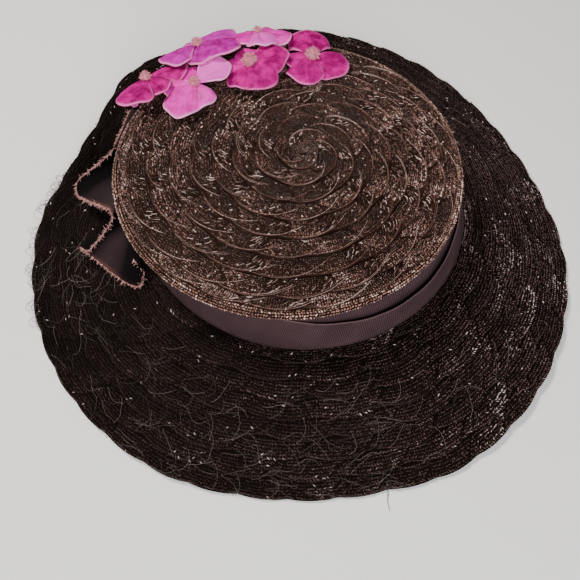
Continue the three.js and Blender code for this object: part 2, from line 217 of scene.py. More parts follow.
def lengths_along(places):
    """The length of the way to each of a row of places."""
    return np.concatenate([[0], np.cumsum(np.linalg.norm(np.diff(places, axis=0), axis=1))])


CROWN_WAY, CROWN_PROFILE = crown_profile()
CROWN_END = CROWN_WAY[-1]


def crown_surface(azimuth, way):
    radius, height, share = (np.interp(way, CROWN_WAY, CROWN_PROFILE[:, i]) for i in range(3))
    return on_axis(azimuth, radius, height, share)


def brim_width(azimuth):
    return around(REACH, azimuth) - BRIM_INNER


def brim_surface(azimuth, share):
    radius = BRIM_INNER + brim_width(azimuth) * share
    drop = np.minimum(around(DROP, azimuth), BRIM_DROP)
    dip = np.maximum(around(DIP, azimuth), 0)
    run = np.clip(share / RIM_LAND, 0, 1)
    height = SEAM_HEIGHT - drop * run**DROOP_POWER - dip * np.sin(np.pi * run**DIP_POWER)
    return on_axis(azimuth, radius, height, 0)


def lay(surface, azimuth, across, lift):
    """Places over a surface, with their directions along the row, outward and up."""
    azimuth, across = np.broadcast_arrays(azimuth, across)
    here = surface(azimuth, across)
    nudge = CROWN_NUDGE if surface is crown_surface else BRIM_NUDGE
    along = unit(surface(azimuth + TURN_NUDGE, across) - here)
    outward = unit(surface(azimuth, across + nudge) - surface(azimuth, across - nudge))
    up = unit(np.cross(outward, along))
    return here + up * np.asarray(lift)[..., None], along, outward, up


class Batch:
    """Points, faces and point values that become one mesh."""

    def __init__(self):
        self.points, self.faces, self.count, self.values = [], [], 0, {}

    def add(self, points, faces, **values):
        points = np.asarray(points, float).reshape(-1, 3)
        self.points.append(points)
        self.faces += [block + self.count for block in faces]
        for name, value in values.items():
            self.values.setdefault(name, []).append(np.broadcast_to(np.ravel(value), len(points)))
        self.count += len(points)


def link(item):
    bpy.context.scene.collection.objects.link(item)


def make_piece(name, batch, material, replaces=()):
    mesh = bpy.data.meshes.new(name)
    points = (np.concatenate(batch.points) + SHIFT) * MM
    corners = np.concatenate([block.ravel() for block in batch.faces]).astype(np.int32)
    sizes = np.concatenate([np.full(len(block), block.shape[1]) for block in batch.faces]).astype(np.int32)
    mesh.vertices.add(len(points))
    mesh.vertices.foreach_set("co", points.astype(np.float32).ravel())
    mesh.loops.add(len(corners))
    mesh.loops.foreach_set("vertex_index", corners)
    mesh.polygons.add(len(sizes))
    mesh.polygons.foreach_set("loop_start", (np.cumsum(sizes) - sizes).astype(np.int32))
    mesh.polygons.foreach_set("use_smooth", np.ones(len(sizes), bool))
    mesh.update(calc_edges=True)
    for key, blocks in batch.values.items():
        values = np.concatenate(blocks).astype(np.float32)
        mesh.attributes.new(key, "FLOAT", "POINT").data.foreach_set("value", values)
    mesh.materials.append(material)
    piece = bpy.data.objects.new(name, mesh)
    link(piece)
    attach(piece, "root")
    if replaces:
        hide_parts(*replaces)
    return piece


def grid_faces(rows, columns, close_rows=False, close_columns=False):
    """Quads of a grid of points, rows first."""
    i = np.arange(rows if close_rows else rows - 1)
    j = np.arange(columns if close_columns else columns - 1)
    i, j = np.meshgrid(i, j, indexing="ij")
    here, after, beside = i * columns, (i + 1) % rows * columns, (j + 1) % columns
    return np.stack([here + j, after + j, after + beside, here + beside], -1).reshape(-1, 4)


def end_faces(rows, columns):
    """The two faces that close a pipe of a grid's points."""
    return np.stack([np.arange(columns)[::-1], np.arange(columns) + (rows - 1) * columns])


def add_tubes(batch, paths, ups, radius, sides=3, **values):
    """Thin strands: paths is strands by points by xyz, ups the way that is up, values are for each point."""
    strands, points, _ = paths.shape
    ahead = unit(np.gradient(paths, axis=1))
    side = unit(np.cross(ahead, ups))
    top = np.cross(side, ahead)
    turn = np.linspace(0, TURN, sides, endpoint=False) + TURN / 4
    ring = side[:, :, None] * np.cos(turn)[:, None] + top[:, :, None] * np.sin(turn)[:, None]
    placed = paths[:, :, None] + ring * np.broadcast_to(radius, (strands, points))[..., None, None]
    start = np.arange(strands)[:, None, None] * points * sides
    faces = (grid_faces(points, sides, close_columns=True) + start).reshape(-1, 4)
    caps = (end_faces(points, sides) + start).reshape(-1, sides)
    spread = {key: np.repeat(np.broadcast_to(value, (strands, points)).ravel(), sides)
              for key, value in values.items()}
    batch.add(placed, [faces, caps], **spread)


# A stitch's points are its four ends all round, its top and its underside
STITCH_FACES = np.array([
    (4, 1, 0), (4, 2, 1), (4, 3, 2), (4, 0, 3), (5, 0, 1), (5, 1, 2), (5, 2, 3), (5, 3, 0),
])
STITCH_POINTS = 6


def add_stitches(batch, placed, angle, length, width, height, lean, **values):
    """Small pointed loops of straw, lying at an angle to their row, each top leaning its own way."""
    here, along, outward, up = placed
    count = len(here)
    angle, length, width, height = (x[:, None] for x in (angle, length, width, height))
    ahead = (along * np.cos(angle) + outward * np.sin(angle)) * length
    side = (outward * np.cos(angle) - along * np.sin(angle)) * width
    top = here + up * height + ahead * lean[:, :1] + side * lean[:, 1:]
    ends = [here - ahead / 2, here - side / 2, here + ahead / 2, here + side / 2]
    points = np.stack([*ends, top, here - up * height / 2], axis=1)
    faces = (STITCH_FACES + np.arange(count)[:, None, None] * STITCH_POINTS).reshape(-1, 3)
    spread = {key: np.repeat(np.broadcast_to(value, count), STITCH_POINTS) for key, value in values.items()}
    batch.add(points, [faces], **spread)


# A braid's section from its tucked inner edge to its free outer edge, and how high its face lies
BRAID_SHARE = np.array([0, 0.12, 0.28, 0.45, 0.62, 0.78, 0.9, 0.96, 1])
BRAID_LIFT = np.array([-0.62, -0.58, -0.42, -0.2, 0.08, 0.4, 0.68, 0.7, 0.35])
BRAID_THICK = 0.95
BRAID_TUCK = 2.6
BRAID_TONE = 0.1

# A row is gathered into crescents, each of which laps over the next one at a slant
CRESCENT = 27
CRESCENT_DEPTH = 3.6
CRESCENT_REACH = 23
BRIM_CRESCENT = 36
LAP_SLANT = 13
LAP_LIFT = 0.75
LAP_LEVEL = 0.6
SEAM_SHARE = 0.035


def scallop(distance):
    """How far a row's edge draws in, by the distance along the row from its crescent's middle."""
    return -CRESCENT_DEPTH * (distance / CRESCENT_REACH) ** 2


def nearest_middle(way, middles):
    """Distance along the row to the nearest crescent's middle."""
    index = np.clip(np.searchsorted(middles, way), 1, len(middles) - 1)
    return np.minimum(np.abs(way - middles[index - 1]), np.abs(way - middles[index]))


class Row:
    """One coil of braid on a surface: azimuths, edges, and the length of the way along it."""

    def __init__(self, surface, azimuth, inner, outer, per_mm, middles=None, sink=0, closed=False):
        self.surface, self.azimuth, self.closed, self.sink = surface, azimuth, closed, sink
        outer = outer + 0 * azimuth
        self.way = lengths_along(surface(azimuth, outer))
        self.length = self.way[-1]
        if middles is None:
            middles = np.arange(-CRESCENT / 2, self.length + CRESCENT, CRESCENT)
        self.middles = middles
        self.cusps = (middles[:-1] + middles[1:]) / 2
        self.gathered = len(middles) > 2
        self.per_mm = per_mm + 0 * azimuth
        self.inner = inner + 0 * azimuth
        self.outer = outer + scallop(nearest_middle(self.way, middles)) * per_mm

    def at(self, way, share):
        """Azimuth and place across the row, at a length along it and a share of its width."""
        azimuth, inner, outer = (np.interp(way, self.way, x) for x in (self.azimuth, self.inner, self.outer))
        return azimuth, inner + (outer - inner) * share

    def crescent(self, way, share):
        """Which crescent a place is in, and how far along it, from 0 to 1."""
        slanted = way + LAP_SLANT * (share - 0.5)
        index = np.clip(np.searchsorted(self.cusps, slanted), 1, len(self.cusps) - 1)
        before, after = self.cusps[index - 1], self.cusps[index]
        return index, np.clip((slanted - before) / (after - before), 0, 1)

    def height(self, way, share):
        """Lift of the braid's face over the surface."""
        lift = np.interp(share, BRAID_SHARE, BRAID_LIFT) - self.sink
        if not self.gathered:
            return lift
        _, along = self.crescent(way, share)
        return lift + LAP_LIFT * (along - LAP_LEVEL) * smooth(0, 0.5, share)

    def lay(self, way, share, lift):
        azimuth, across = self.at(way, share)
        return lay(self.surface, azimuth, across, self.height(way, share) + lift)


def add_braid(batch, row):
    """The braid as a flat closed ribbon that follows its row."""
    share = np.concatenate([BRAID_SHARE, BRAID_SHARE[::-2]])
    lift = row.height(*np.broadcast_arrays(row.way[:, None], share))
    lift[:, len(BRAID_SHARE):] -= BRAID_THICK
    if row.closed:
        lift[-1] = lift[0]
    across = row.inner[:, None] + (row.outer - row.inner)[:, None] * share
    points, _, _, _ = lay(row.surface, row.azimuth[:, None], across, lift)
    if row.closed:
        points, lift = points[:-1], lift[:-1]
    rows, columns = lift.shape
    blocks = [grid_faces(rows, columns, close_rows=row.closed, close_columns=True)]
    if not row.closed:
        blocks.append(end_faces(rows, columns))
    # Painted shade: the lower the braid's face lies, the darker it is made
    batch.add(points, blocks, tone=BRAID_TONE, depth=lift + 1)


# Crown rows: one coil winds clockwise out of the middle, then rings go round the edge and down the wall
COIL_PITCH = 10.4
COIL_AT_RIGHT = 9
COIL_START = 0.16
COIL_STEP = 2
COIL_LEAST = 4
COIL_LIMIT = 89
RIM_ROW = (86.6, 94.4)
RIM_SINK = 0.1
WALL_ROWS = 4
WALL_SINK = 0.75
WALL_LAP = 1
FIRST_TUCK = 0.5
RING_STEPS = 301
UNGATHERED = np.array([-1e4, 1e4])

# Brim rows: their laps over the next ones, and the place of the first crescent of the rim
BRIM_STEPS = 481
BRIM_LAP = 0.7
RIM_PHASE = 1 / 3
BRIM_ROW_SEED = 5


def crown_rows():
    turns = [COIL_START - COIL_AT_RIGHT / COIL_PITCH]
    while COIL_AT_RIGHT + COIL_PITCH * (turns[-1] - 1) < COIL_LIMIT:
        radius = max(COIL_AT_RIGHT + COIL_PITCH * turns[-1], COIL_LEAST)
        turns.append(turns[-1] + COIL_STEP / (TURN * min(radius, COIL_LIMIT)))
    turns = np.array(turns)
    edge = COIL_AT_RIGHT + COIL_PITCH * turns
    inner = np.clip(edge - COIL_PITCH - BRAID_TUCK, 0.05, COIL_LIMIT - 1)
    coil = Row(crown_surface, -TURN * turns, inner, np.minimum(edge, COIL_LIMIT + 1), 1)
    azimuth = np.linspace(0, TURN, RING_STEPS)
    rim = Row(crown_surface, azimuth, *RIM_ROW, 0, UNGATHERED, RIM_SINK, True)
    start = RIM_ROW[1] - WALL_LAP
    pitch = (CROWN_END - start) / WALL_ROWS
    rings = []
    for number in range(WALL_ROWS):
        low = start + pitch * number
        tuck = BRAID_TUCK if number else FIRST_TUCK
        rings.append(Row(crown_surface, azimuth, low - tuck, low + pitch, 0, UNGATHERED, WALL_SINK, True))
    return coil, rim, rings


def brim_rows():
    azimuth = np.linspace(0, TURN, BRIM_STEPS)
    per_mm = 1 / brim_width(azimuth)
    draw = np.random.default_rng(BRIM_ROW_SEED)
    rows = []
    for number in range(1, BRIM_ROWS + 1):
        outer = np.full_like(azimuth, number / BRIM_ROWS)
        inner = np.maximum((number - 1) / BRIM_ROWS - BRAID_TUCK * per_mm, 0)
        length = lengths_along(brim_surface(azimuth, outer))[-1]
        count = RIM_SCALLOPS if number == BRIM_ROWS else round(length / BRIM_CRESCENT)
        phase = RIM_PHASE if number == BRIM_ROWS else draw.random()
        middles = (np.arange(-2, count + 3) + phase) * length / count
        rows.append(Row(brim_surface, azimuth, inner, outer + BRIM_LAP * per_mm, per_mm, middles, 0, True))
    return rows


# Tones run from 0, black, to 1, a glint. Plain ones: their spread, share unlit, more when lit, limit
CROWN_SPREAD = (2.4, 2.2, 0.7, 0.45, 0.72)
BRIM_SPREAD = (1.9, 2.4, 0.6, 0.5, 0.76)
CROWN_PATCH = 9
CROWN_MIDDLE = 0.58
CROWN_MIDDLE_WAY = (100, 900)
CROWN_GLINTS = (0.01, 0.04)
CROWN_GLINT_TONES = (0.75, 0.97)
# Painted highlight on the crown's rolled edge: how much lighter its stitches are
RIM_HIGHLIGHT = 0.2

# How dark the darkest side of the brim is, the azimuth of the lightest, and how bright that is
BRIM_DARKEST = 0.1
LIGHTEST_SIDE_AT = math.radians(-10)
BRIM_SIDE_SCALE = 1.5
BRIM_PATCH = 13
# Painted glints in runs along the brim's outer sub-rows: their chance, how lit the run must be, the share of
# the row past which they fall, their tones
BRIM_GLINT_RUNS = 0.16
GLINT_RUN_LIT = 0.8
GLINT_RUN_SHARE = 0.7
BRIM_GLINT_RUN_TONES = (0.6, 0.85)
BRIM_GLINTS = 0.005


def patches(way, period, phase):
    """Runs along a row, from 0 to 1, of uneven lengths."""
    wave = np.sin(way / period + phase) + 0.7 * np.sin(way / period * 2.3 + phase * 5)
    return smooth(-0.4, 1.2, wave)


def plain_tones(draw, spread, lit, factor):
    first, second, unlit, more, limit = spread
    return np.minimum(draw.beta(first, second, len(lit)) * (unlit + more * lit) * factor, limit)


def crown_tones(draw, way, share):
    """The middle of the crown, where the way begins, is the darkest."""
    count = len(way)
    lit = patches(way, CROWN_PATCH, share * 9 + draw.uniform(0, TURN))
    middle = CROWN_MIDDLE + (1 - CROWN_MIDDLE) * smooth(*CROWN_MIDDLE_WAY, way)
    tone = plain_tones(draw, CROWN_SPREAD, lit, middle)
    unlit, more = CROWN_GLINTS
    glint = draw.random(count) < (unlit + more * lit) * middle
    return np.where(glint, draw.uniform(*CROWN_GLINT_TONES, count), tone)


def rim_highlight_tones(draw, way, share):
    return np.clip(crown_tones(draw, way, share) + RIM_HIGHLIGHT, 0, 1)


def brim_tones(draw, way, share):
    """Way counts from the right side of the brim, which is made the lightest; the left side is made darker.
    """
    count = len(way)
    lit = patches(way, BRIM_PATCH, draw.uniform(0, TURN))
    towards = 0.5 + 0.5 * np.cos(TURN * way / way[-1] - LIGHTEST_SIDE_AT)
    side_fade = (BRIM_DARKEST + (1 - BRIM_DARKEST) * towards) * BRIM_SIDE_SCALE
    tone = plain_tones(draw, BRIM_SPREAD, lit, side_fade)
    # Painted glints: runs of bright stitches near the rows' outer edges
    run_glint = (lit > GLINT_RUN_LIT) & (share > GLINT_RUN_SHARE) & (draw.random(count) < BRIM_GLINT_RUNS)
    tone = np.where(run_glint, draw.uniform(*BRIM_GLINT_RUN_TONES, count), tone)
    return np.where(draw.random(count) < BRIM_GLINTS, 1, tone)


# Stitches: spacing, length, width, height, how unevenly they turn, tones, sub-rows by share of the width
STITCHES = {
    "crown": (1.25, 1.6, 0.82, 0.62, 0.12, crown_tones,
              (0.2, 0.29, 0.38, 0.47, 0.56, 0.65, 0.74, 0.83, 0.92)),
    "edge": (1.35, 1.8, 0.95, 0.65, 0.12, rim_highlight_tones, (0.1, 0.26, 0.42, 0.58, 0.74, 0.9)),
    "brim": (1.5, 2.2, 0.75, 0.55, 0.3, brim_tones, (0.27, 0.4, 0.53, 0.66, 0.79, 0.92)),
}
STITCH_ANGLE = 0.62
STITCH_LEAN = 0.2
STITCH_LIFT = 0.08
UNEVEN_LIFT = 0.06
UNEVEN_WAY = 0.12
UNEVEN_SHARE = 0.012
UNEVEN_SIZE = (0.8, 1.2)
UNEVEN_HEIGHT = (0.7, 1.3)
OPEN_REACH = 5
OPEN_KEPT = 0.3
GLINT_TONE = 0.8
CRESCENT_TONES = (0.55, 1.2)
# Painted shade along each crescent: darkest at its start, under the lap of the crescent before, lighter
# towards its end
CRESCENT_SHADE_DARKEST = 0.72
CRESCENT_SHADE_RISE = 0.38


def stitch_row(batch, row, draw, kind, open_at=()):
    """Lines of oblique stitches along a row, thinned where the braid is open."""
    spacing, length, width, height, skew, tones, sub_rows = STITCHES[kind]
    for number, share in enumerate(sub_rows):
        way = np.arange(spacing / 2, row.length, spacing)
        way = np.clip(way + draw.normal(0, spacing * UNEVEN_WAY, len(way)), 0, row.length)
        across = share + draw.normal(0, UNEVEN_SHARE, len(way))
        keep = np.ones(len(way), bool)
        if len(open_at):
            near = nearest_middle(way, open_at)
            keep = (near > OPEN_REACH) | (draw.random(len(way)) < OPEN_KEPT)
        if row.gathered:
            index, along = row.crescent(way, across)
            keep &= (along > SEAM_SHARE) & (along < 1 - SEAM_SHARE / 2)
        way, across = way[keep], across[keep]
        count = len(way)
        placed = row.lay(way, across, STITCH_LIFT + draw.normal(0, UNEVEN_LIFT, count))
        angle = (1 if number % 2 else -1) * (STITCH_ANGLE + draw.normal(0, skew, count))
        tone = tones(draw, way, share)
        if row.gathered:
            crescents = len(row.cusps)
            own = np.random.default_rng(crescents).uniform(*CRESCENT_TONES, crescents + 1)
            # Each crescent's own random tone, times painted shade that lifts from its start under the lap
            # towards its end
            toned = tone * own[index[keep]] * (CRESCENT_SHADE_DARKEST + CRESCENT_SHADE_RISE * along[keep])
            tone = np.where(tone < GLINT_TONE, toned, tone)
        lengths, widths = (x * draw.uniform(*UNEVEN_SIZE, count) for x in (length, width))
        heights = height * draw.uniform(*UNEVEN_HEIGHT, count)
        lean = draw.normal(0, STITCH_LEAN, (count, 2))
        # Painted shade: stitches towards the row's tucked inner edge are made darker
        add_stitches(batch, placed, angle, lengths, widths, heights, lean, tone=tone, depth=1 + share)


# Selvedge threads: how far they reach along the row and into it, and how they fade
CORD_REACH = 25
CORD_DEPTH = 7
CORD_LIFT = 0.32
CORD_MARGIN = 0.2
CORD_PITCH = 0.5
CORD_FADE_AT = (0, 0.2, 0.45, 0.75, 1)
CORD_FADE = (1, 0.9, 0.7, 0.3, 0.15)


def crescent_cords(batch, row, draw, tones, lines=2, radius=0.11, points=17, shown=1):
    """The parallel selvedge threads of each crescent, from inside the row out to its edge and back in."""
    middles = row.middles[(row.middles > -5) & (row.middles < row.length + 5)]
    middles = middles[draw.random(len(middles)) < shown]
    place = np.linspace(-1, 1, points)
    fade = np.interp(np.linspace(0, 1, points), CORD_FADE_AT, CORD_FADE)
    for line in range(lines):
        way = middles[:, None] + place * CORD_REACH + draw.normal(0, 0.6, (len(middles), 1))
        way = way % row.length if row.closed else np.clip(way, 0, row.length)
        inner, outer, per_mm = (np.interp(way, row.way, x) for x in (row.inner, row.outer, row.per_mm))
        crest = outer - scallop(nearest_middle(way, row.middles)) * per_mm
        across = crest - (CORD_DEPTH * place**2 + CORD_MARGIN + line * CORD_PITCH) * per_mm
        across = np.maximum(across, inner + CORD_MARGIN * per_mm)
        share = (across - inner) / np.maximum(outer - inner, 1e-6)
        placed, _, _, up = row.lay(way, share, CORD_LIFT)
        thick = radius * (1 - 0.55 * np.abs(place) ** 3)
        tone = draw.uniform(*tones, (len(middles), 1)) * fade
        add_tubes(batch, placed, up, thick, tone=tone, depth=1.9)


# Loose tufts between the crescents: strands in each, their spread, and ranges for each strand
TUFT_STRANDS = 30
TUFT_SPREAD = 2.8
TUFT_LENGTH = (0.8, 2.6)
TUFT_START = (0.2, 0.72)
TUFT_CROSS = (0.08, 0.2)
TUFT_RISE = (0.05, 0.3)
TUFT_LIFT = 0.2
TUFT_SILVER = 0.22
SILVER_TONES = (0.6, 0.95)
DARK_TONES = (0, 0.35)
TUFT_RADIUS = 0.16
TUFT_POINTS = 5


def feathers(batch, row, draw, open_at):
    """Loose tufts of dark and silvery strands between the crescents."""
    middle = open_at[:, None] + draw.normal(0, TUFT_SPREAD, (len(open_at), TUFT_STRANDS))
    start = np.clip(middle.ravel(), 6, row.length - 8)[:, None]
    run = np.linspace(0, 1, TUFT_POINTS)
    way = start + draw.uniform(*TUFT_LENGTH, start.shape) * run**1.3
    share = draw.uniform(*TUFT_START, start.shape) + draw.uniform(*TUFT_CROSS, start.shape) * run
    lift = TUFT_LIFT + draw.uniform(*TUFT_RISE, start.shape) * np.sin(np.pi * run)
    placed, _, _, up = row.lay(way, share, lift)
    silver = draw.random(start.shape) < TUFT_SILVER
    silvery, dark = (draw.uniform(*tones, start.shape) for tones in (SILVER_TONES, DARK_TONES))
    add_tubes(batch, placed, up, TUFT_RADIUS, tone=np.where(silver, silvery, dark), depth=1.8)


# Where the crown's braid can be open: from the middle out, how far from its end, and how often
OPEN_FROM = 60
OPEN_END = 20
OPEN_CHANCE = 0.6
CROWN_SEED = 11
BRIM_SEED = 23


def build_crown(straws):
    coil, rim, rings = crown_rows()
    shell = Batch()
    for row in (coil, rim, *rings):
        add_braid(shell, row)
    make_piece("crown_braid", shell, straws["crown_braid"], ["crown"])
    draw = np.random.default_rng(CROWN_SEED)
    open_at = coil.middles[:-1] + CRESCENT / 2
    chosen = draw.random(len(open_at)) < OPEN_CHANCE
    open_at = open_at[chosen & (open_at < coil.length - OPEN_END) & (open_at > OPEN_FROM)]
    stitches = Batch()
    stitch_row(stitches, coil, draw, "crown", open_at)
    make_piece("crown_stitches", stitches, straws["crown_straw"])
    edge = Batch()
    stitch_row(edge, rim, draw, "edge")
    make_piece("crown_edge_stitches", edge, straws["crown_edge"])
    strands = Batch()
    crescent_cords(strands, coil, draw, (0.5, 0.95))
    feathers(strands, coil, draw, open_at)
    make_piece("crown_strands", strands, straws["crown_straw"])


def build_brim(straws):
    rows = brim_rows()
    shell = Batch()
    for row in rows:
        add_braid(shell, row)
    make_piece("brim_braid", shell, straws["brim_braid"], ["brim"])
    draw = np.random.default_rng(BRIM_SEED)
    half = BRIM_ROWS // 2
    for name, part in (("brim_stitches_inner", rows[:half]), ("brim_stitches_outer", rows[half:])):
        stitches = Batch()
        for row in part:
            stitch_row(stitches, row, draw, "brim")
        make_piece(name, stitches, straws["brim_straw"])
    strands = Batch()
    for row in rows:
        crescent_cords(strands, row, draw, (0.15, 0.5), lines=1, radius=0.13, points=13, shown=0.55)
    make_piece("brim_strands", strands, straws["brim_straw"])


def add_sheet(batch, grid, thickness, **values):
    """Cloth with both faces and its edges, from a grid of places along its middle, with values for each."""
    rows, columns, _ = grid.shape
    down, across = np.gradient(grid, axis=0), np.gradient(grid, axis=1)
    up = unit(np.cross(across, down))
    points = np.stack([grid + up * thickness / 2, grid - up * thickness / 2])
    front = grid_faces(rows, columns)
    size = rows * columns
    cell = np.arange(size).reshape(rows, columns)
    rim = np.concatenate([cell[:, 0], cell[-1, 1:], cell[-2::-1, -1], cell[0, -2:0:-1]])
    after = np.roll(rim, -1)
    sides = np.stack([rim, after, after + size, rim + size], axis=1)
    batch.add(points, [front[:, ::-1], front + size, sides],
              **{key: np.broadcast_to(value, (2, rows, columns)) for key, value in values.items()})


CURVE_TENSION = 0.36


def smooth_rows(table, count):
    """More rows of a table, on a smooth curve through the given ones."""
    place = np.linspace(0, len(table) - 1, count)
    padded = np.concatenate([2 * table[:1] - table[1:2], table, 2 * table[-1:] - table[-2:-1]])
    low = np.minimum(place.astype(int), len(table) - 2)
    before, start, end, after = (padded[low + i] for i in range(4))
    return curve((place - low)[:, None], start, end, CURVE_TENSION * (end - before),
                 CURVE_TENSION * (after - start))


# The band runs once round under its own lap, then over it, and ends at the back
BAND_START = LAP_START - 8
BAND_END = LAP_END + 360 + 70
BAND_OVER = (BAND_START + 335, BAND_START + 366)
BAND_STEPS = 340
BAND_WIDTH_STEPS = 13
OVER_DROP = 0.6
OVER_GAP = 0.12
BAND_SLACK = 0.22
FOOT_FLARE = 0.35


def build_band(material):
    degrees = np.linspace(BAND_START, BAND_END, BAND_STEPS)[:, None]
    over = smooth(*BAND_OVER, degrees)
    along = np.clip((degrees - 360 - LAP_START) / (LAP_END - LAP_START), 0, 1)
    dip = LAP_DIP * np.sin(np.pi * along) ** 0.8 + OVER_DROP * over
    share = shares(BAND_WIDTH_STEPS)
    height = BAND_FOOT + (BAND_TOP - dip - BAND_FOOT) * share
    standoff = GAP + RIBBON / 2 + (RIBBON + OVER_GAP) * over
    standoff = standoff + LAP_STANDOFF * np.sin(np.pi * along) * share**1.5
    azimuth = np.radians(degrees) + 0 * share
    slack = BAND_SLACK * np.sin(azimuth * 23 + 3 * share) * np.sin(azimuth * 7.3 + 1) * (0.3 + share)
    grid = wall_point(azimuth, standoff + slack * 0.6 + FOOT_FLARE * (1 - share) ** 3, height)
    batch = Batch()
    add_sheet(batch, grid, RIBBON, rib=azimuth * SEAM_RADIUS, selvedge=np.abs(2 * share - 1), fray=0, shade=1)
    band = make_piece("hat_band_ribbon", batch, material, ["hat_band"])


# Painted light and shade on each fold: a place in the order of the pleats, and the share of the ribbon's own
# colour
PLEAT_SHADES = np.array([
    (0, 0.3), (1, 0.25), (2, 0.03), (3, 0.02), (4, 0.04), (4.35, 0.3), (5, 0.5), (6, 0.4), (6.4, 0.05),
    (7, 0.02), (8, 0.04), (8.3, 0.2), (8.55, 0.5), (8.75, 0.35), (9, 0.08), (10, 0.03), (12, 0.03),
])
ROOT_SHADE = 0.45
BOW_FOLD_STEPS = 145
BOW_RUN_STEPS = 26
FRAYED = 1.9

# The fringe: how many fibres, how they stray, reach and curl, how deep they root, and their radii
FRINGE_FIBRES = 1000
FRINGE_STRAY = 0.55
FRINGE_REACH = (0.6, 2.5)
FRINGE_CURL = 0.5
FRINGE_ROOT = 1.2
FRINGE_RADII = (0.24, 0.26, 0.24, 0.2, 0.1)
FRINGE_SEED = 31


def bow_grid():
    rows = smooth_rows(PLEATS, BOW_FOLD_STEPS)
    root = wall_point(np.radians(rows[:, 3]), PLEAT_ROOT_STANDOFF, rows[:, 4])
    edge = rows[:, :3]
    t = shares(BOW_RUN_STEPS)[..., None]
    grid = root[:, None] * (1 - t) + edge[:, None] * t
    grid[:, :, 2] += PLEAT_BELLY * np.sin(np.pi * t[..., 0])
    return grid


def add_fringe(batch, grid, way):
    """Fibres along the free edge of the pleats, which point on from the cloth."""
    draw = np.random.default_rng(FRINGE_SEED)
    place = np.sort(draw.uniform(0, way[-1], FRINGE_FIBRES))
    start, inside = (np.stack([np.interp(place, way, grid[:, column, i]) for i in range(3)], axis=1)
                     for column in (-1, -4))
    out = unit(start - inside)
    drift = unit(out + draw.normal(0, FRINGE_STRAY, out.shape))
    reach = draw.uniform(*FRINGE_REACH, (FRINGE_FIBRES, 1, 1))
    run = np.linspace(-0.5, 1, len(FRINGE_RADII))[None, :, None]
    rooted, free = np.minimum(run, 0) * FRINGE_ROOT, np.clip(run, 0, 1)
    curl = draw.normal(0, FRINGE_CURL, (FRINGE_FIBRES, 1, 3)) * free**2
    paths = start[:, None] + out[:, None] * rooted + drift[:, None] * free * reach + curl
    add_tubes(batch, paths, (0, 0, 1), FRINGE_RADII, tone=draw.random((FRINGE_FIBRES, 1)))


def build_bow(material, fringe_material):
    grid = bow_grid()
    lengths = np.linalg.norm(grid[:, -1] - grid[:, 0], axis=1)
    share = shares(BOW_RUN_STEPS)
    fray = smooth(FRAYED, 0.2, lengths[:, None] * (1 - share))
    shade = np.interp(np.linspace(0, len(PLEATS) - 1, BOW_FOLD_STEPS), *PLEAT_SHADES.T)
    shade = shade[:, None] * (ROOT_SHADE + (1 - ROOT_SHADE) * smooth(0, 0.5, share))
    batch = Batch()
    add_sheet(batch, grid, RIBBON, rib=lengths[:, None] * share, selvedge=0, fray=fray, shade=shade)
    bow = make_piece("ribbon_bow_cloth", batch, material, ["ribbon_bow"])
    way = lengths_along(grid[:, -1])
    fringe = Batch()
    add_fringe(fringe, grid, way)
    make_piece("ribbon_bow_fringe", fringe, fringe_material)


# Each blossom: middle, where its face leans and by how much, the slot, and its petals from the lowest:
# direction, reach, half width in degrees, rise of the tip, droop of the sides, paleness
BLOSSOMS = {
    1: ((-88, 48.5, 77), 129, 18, "velvet_magenta", [
        (95, 15, 50, -10, 1, 0), (165, 15, 50, -10, 1, 0), (318, 17, 44, -0.5, 1, 0),
        (27, 25, 30, 0, 3, 0.05), (252, 26, 42, 0.5, 2, 0)]),
    2: ((-61.5, 75, 78), 118, 24, "velvet_violet", [
        (155, 14, 55, -4, 1, 0.3), (98, 19, 46, -1, 1, 0.3), (284, 20.5, 40, -1.5, 1.2, 0.1),
        (48, 27, 42, 0.5, 1.5, 0.35), (340, 27, 44, -0.5, 2, 0.05), (224, 25, 42, -0.5, 1.8, 0.15)]),
    3: ((-61, 46, 77), 200, 4, "velvet_pale", [
        (105, 14, 54, 1, 1, 0), (188, 18.5, 42, 0.5, 1.2, 0.1), (294, 18.5, 44, 0.5, 1.4, 0.25),
        (247, 25, 42, 0.5, 1.6, 0.1), (36, 23, 44, 3.5, -1, 0.6)]),
    4: ((-27.5, 88, 77), 92, 20, "velvet_pale", [
        (110, 12, 60, -3, 1, 0.1), (38, 17, 48, -1, 1, 0.2), (348, 21, 46, 0, 1.4, 0.1),
        (218, 19, 46, 0, 1.4, 0), (285, 20, 44, 0.5, 1.4, 0.55)]),
    5: ((-31, 61, 79), 250, 3, "velvet_magenta", [
        (108, 12.5, 58, 1, 1, 0.75), (185, 15, 46, 0, 1, 0.7), (245, 19, 42, -0.5, 1.4, 0),
        (304, 21, 52, -0.3, 1.6, 0.12), (22, 23, 44, 0.8, 1.6, 0.04)]),
    6: ((4.5, 69.5, 75.8), 60, 3, "velvet_magenta", [
        (190, 15.5, 52, 0.5, 1, 0.25), (344, 21.5, 54, -0.3, 1.4, 0.05), (97, 25.5, 48, 0.5, 1.8, 0),
        (250, 21.5, 50, -0.3, 1.4, 0.12)]),
}
KNOBS = {1: 2.6, 2: 2.7, 3: 2.6, 4: 2.1, 5: 3.3, 6: 3.4}
BLOSSOM_SEED = 100
PETAL_THICK = 0.75
PETAL_STEPS = 17
PETAL_TAPER = 0.34
PETAL_LOBES = 0.03
PETAL_RIPPLES = (0.75, 0.45)
PETAL_BASE = 0.35
PETAL_STACK = 0.28
PETAL_TWIST = 0.5
PETAL_ARCH = 1.2
PETAL_LIP = 0.84
CREASE_DEPTH = 1.1
CREASE_WIDTH = 0.16


